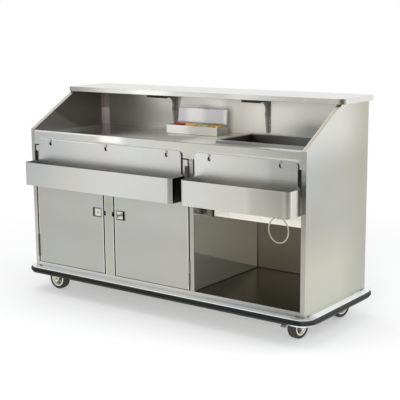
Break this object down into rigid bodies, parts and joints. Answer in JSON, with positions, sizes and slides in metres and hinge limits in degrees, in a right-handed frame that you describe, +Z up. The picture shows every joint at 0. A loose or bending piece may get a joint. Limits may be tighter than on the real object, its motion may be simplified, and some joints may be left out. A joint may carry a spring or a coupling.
{
  "type": "mobile bar",
  "caption": "Stainless steel mobile bar on casters with a raised bar shelf, worktop, ice bin, speed rails, latched cabinet doors, open bay and condiment tray.",
  "frame": {"origin": "on the floor under the centre of the whole bar's box", "axes": "+Z up; +X to the right for the operator, along the bar; the operator stands on the -Y side"},
  "size_m": [1.956, 0.81, 1.206],
  "materials": {
    "stainless": "brushed",
    "top_stainless": "brushed",
    "black_steel": "satin",
    "black_plastic": "matte",
    "aluminium": "satin",
    "bumper_vinyl": "satin",
    "cream_plastic": "satin",
    "brass": "satin",
    "lever_coat": "satin",
    "zinc_steel": "zinc plated",
    "chrome": "polished",
    "rim_coat": "satin",
    "tyre": "matte"
  },
  "bodies": {
    "bar": {"base_deck": "stainless", "caster_rails": "stainless", "bumper_channel": "aluminium", "bumper_strip": "bumper_vinyl", "caster_plates": "zinc_steel", "caster_bolts": "zinc_steel", "side_panel_left": "stainless", "side_panel_right": "stainless", "back_panel": "stainless", "partition": "stainless", "centre_stile": "stainless", "header_panels": "stainless", "apron": "stainless", "worktop": "top_stainless", "ice_bin_liner": "stainless", "ice_bin_jacket": "cream_plastic", "drain_valve": "brass", "bar_shelf": "top_stainless", "shelf_brackets": "black_steel", "pan_screws": "zinc_steel", "corner_posts": "stainless", "frame_hinges": "zinc_steel", "rail_studs": "zinc_steel", "partition_block": "black_plastic"},
    "swivel_front_left": {"fork_front_left": "zinc_steel", "axle_front_left": "zinc_steel"},
    "roller_front_left": {"wheel_front_left": "rim_coat", "tyre_front_left": "tyre"},
    "brake_front_left": {"pedal_front_left": "zinc_steel"},
    "swivel_front_right": {"fork_front_right": "zinc_steel", "axle_front_right": "zinc_steel"},
    "roller_front_right": {"wheel_front_right": "rim_coat", "tyre_front_right": "tyre"},
    "brake_front_right": {"pedal_front_right": "zinc_steel"},
    "swivel_rear_left": {"fork_rear_left": "zinc_steel", "axle_rear_left": "zinc_steel"},
    "roller_rear_left": {"wheel_rear_left": "rim_coat", "tyre_rear_left": "tyre"},
    "swivel_rear_right": {"fork_rear_right": "zinc_steel", "axle_rear_right": "zinc_steel"},
    "roller_rear_right": {"wheel_rear_right": "rim_coat", "tyre_rear_right": "tyre"},
    "door_left": {"door_left": "stainless", "door_hinges_left": "zinc_steel", "latch_cup_left": "chrome"},
    "paddle_left": {"latch_paddle_left": "chrome"},
    "bolt_left": {"latch_bolt_left": "zinc_steel"},
    "door_right": {"door_right": "stainless", "door_hinges_right": "zinc_steel", "latch_cup_right": "chrome"},
    "paddle_right": {"latch_paddle_right": "chrome"},
    "bolt_right": {"latch_bolt_right": "zinc_steel"},
    "key": {"lock_key": "brass"},
    "long_rail": {"long_speed_rail": "stainless"},
    "short_rail": {"short_speed_rail": "stainless"},
    "ring": {"towel_ring": "chrome"},
    "lever": {"drain_lever": "lever_coat"},
    "tray": {"tray_box": "stainless", "tray_inserts": "stainless"},
    "lid": {"tray_lid": "stainless"}
  },
  "joints": [
    {"name": "caster_swivel_front_left", "type": "hinge", "parent": "bar", "child": "swivel_front_left", "pos_m": [-0.815, -0.183, 0.14], "axis": [0, 0, 1], "continuous": true},
    {"name": "wheel_spin_front_left", "type": "hinge", "parent": "swivel_front_left", "child": "roller_front_left", "pos_m": [-0.841, -0.183, 0.0635], "axis": [0, -1, 0], "continuous": true},
    {"name": "brake_press_front_left", "type": "hinge", "parent": "swivel_front_left", "child": "brake_front_left", "pos_m": [-0.77509, -0.183, 0.10796], "axis": [0, 1, 0], "range_deg": [0, 18]},
    {"name": "caster_swivel_front_right", "type": "hinge", "parent": "bar", "child": "swivel_front_right", "pos_m": [0.815, -0.183, 0.14], "axis": [0, 0, 1], "continuous": true},
    {"name": "wheel_spin_front_right", "type": "hinge", "parent": "swivel_front_right", "child": "roller_front_right", "pos_m": [0.81727, -0.1571, 0.0635], "axis": [-0.9962, 0.0872, 0], "continuous": true},
    {"name": "brake_press_front_right", "type": "hinge", "parent": "swivel_front_right", "child": "brake_front_right", "pos_m": [0.81152, -0.22276, 0.10796], "axis": [0.9962, -0.0872, 0], "range_deg": [0, 18]},
    {"name": "caster_swivel_rear_left", "type": "hinge", "parent": "bar", "child": "swivel_rear_left", "pos_m": [-0.815, 0.253, 0.14], "axis": [0, 0, 1], "continuous": true},
    {"name": "wheel_spin_rear_left", "type": "hinge", "parent": "swivel_rear_left", "child": "roller_rear_left", "pos_m": [-0.802, 0.27552, 0.0635], "axis": [-0.866, 0.5, 0], "continuous": true},
    {"name": "caster_swivel_rear_right", "type": "hinge", "parent": "bar", "child": "swivel_rear_right", "pos_m": [0.815, 0.253, 0.14], "axis": [0, 0, 1], "continuous": true},
    {"name": "wheel_spin_rear_right", "type": "hinge", "parent": "swivel_rear_right", "child": "roller_rear_right", "pos_m": [0.82041, 0.27843, 0.0635], "axis": [-0.9781, 0.2079, 0], "continuous": true},
    {"name": "door_swing_left", "type": "hinge", "parent": "bar", "child": "door_left", "pos_m": [-0.899, -0.29, 0.2805], "axis": [0, 0, -1], "range_deg": [0, 110]},
    {"name": "paddle_pull_left", "type": "hinge", "parent": "door_left", "child": "paddle_left", "pos_m": [-0.3977, -0.283, 0.536], "axis": [0, 0, 1], "range_deg": [0, 30]},
    {"name": "bolt_slide_left", "type": "slide", "parent": "door_left", "child": "bolt_left", "axis": [-1, 0, 0], "range_m": [0, 0.01]},
    {"name": "door_swing_right", "type": "hinge", "parent": "bar", "child": "door_right", "pos_m": [0.226, -0.29, 0.2805], "axis": [0, 0, 1], "range_deg": [0, 110]},
    {"name": "paddle_pull_right", "type": "hinge", "parent": "door_right", "child": "paddle_right", "pos_m": [-0.2753, -0.283, 0.536], "axis": [0, 0, -1], "range_deg": [0, 30]},
    {"name": "bolt_slide_right", "type": "slide", "parent": "door_right", "child": "bolt_right", "axis": [1, 0, 0], "range_m": [0, 0.01]},
    {"name": "key_turn", "type": "hinge", "parent": "paddle_right", "child": "key", "pos_m": [-0.2548, -0.288, 0.536], "axis": [0, -1, 0], "range_deg": [0, 90]},
    {"name": "long_rail_lift", "type": "slide", "parent": "bar", "child": "long_rail", "axis": [0, 0, 1], "range_m": [0, 0.017]},
    {"name": "short_rail_lift", "type": "slide", "parent": "bar", "child": "short_rail", "axis": [0, 0, 1], "range_m": [0, 0.017]},
    {"name": "ring_swing", "type": "hinge", "parent": "short_rail", "child": "ring", "pos_m": [0.816, -0.35, 0.66], "axis": [0.9877, -0.1564, 0], "range_deg": [-60, 60]},
    {"name": "drain_turn", "type": "hinge", "parent": "bar", "child": "lever", "pos_m": [0.801, 0.113, 0.5165], "axis": [0, -1, 0], "range_deg": [0, 90]},
    {"name": "tray_lift", "type": "slide", "parent": "bar", "child": "tray", "axis": [0, 0, 1], "range_m": [0, 0.06]},
    {"name": "lid_close", "type": "hinge", "parent": "tray", "child": "lid", "pos_m": [-0.0525, 0.214, 1.017], "axis": [1, 0, 0], "range_deg": [0, 95]}
  ],
  "couplings": [
    {"joint": "bolt_slide_left", "follows": "paddle_pull_left", "m_per_rad": 0.019},
    {"joint": "bolt_slide_right", "follows": "paddle_pull_right", "m_per_rad": 0.019}
  ]
}
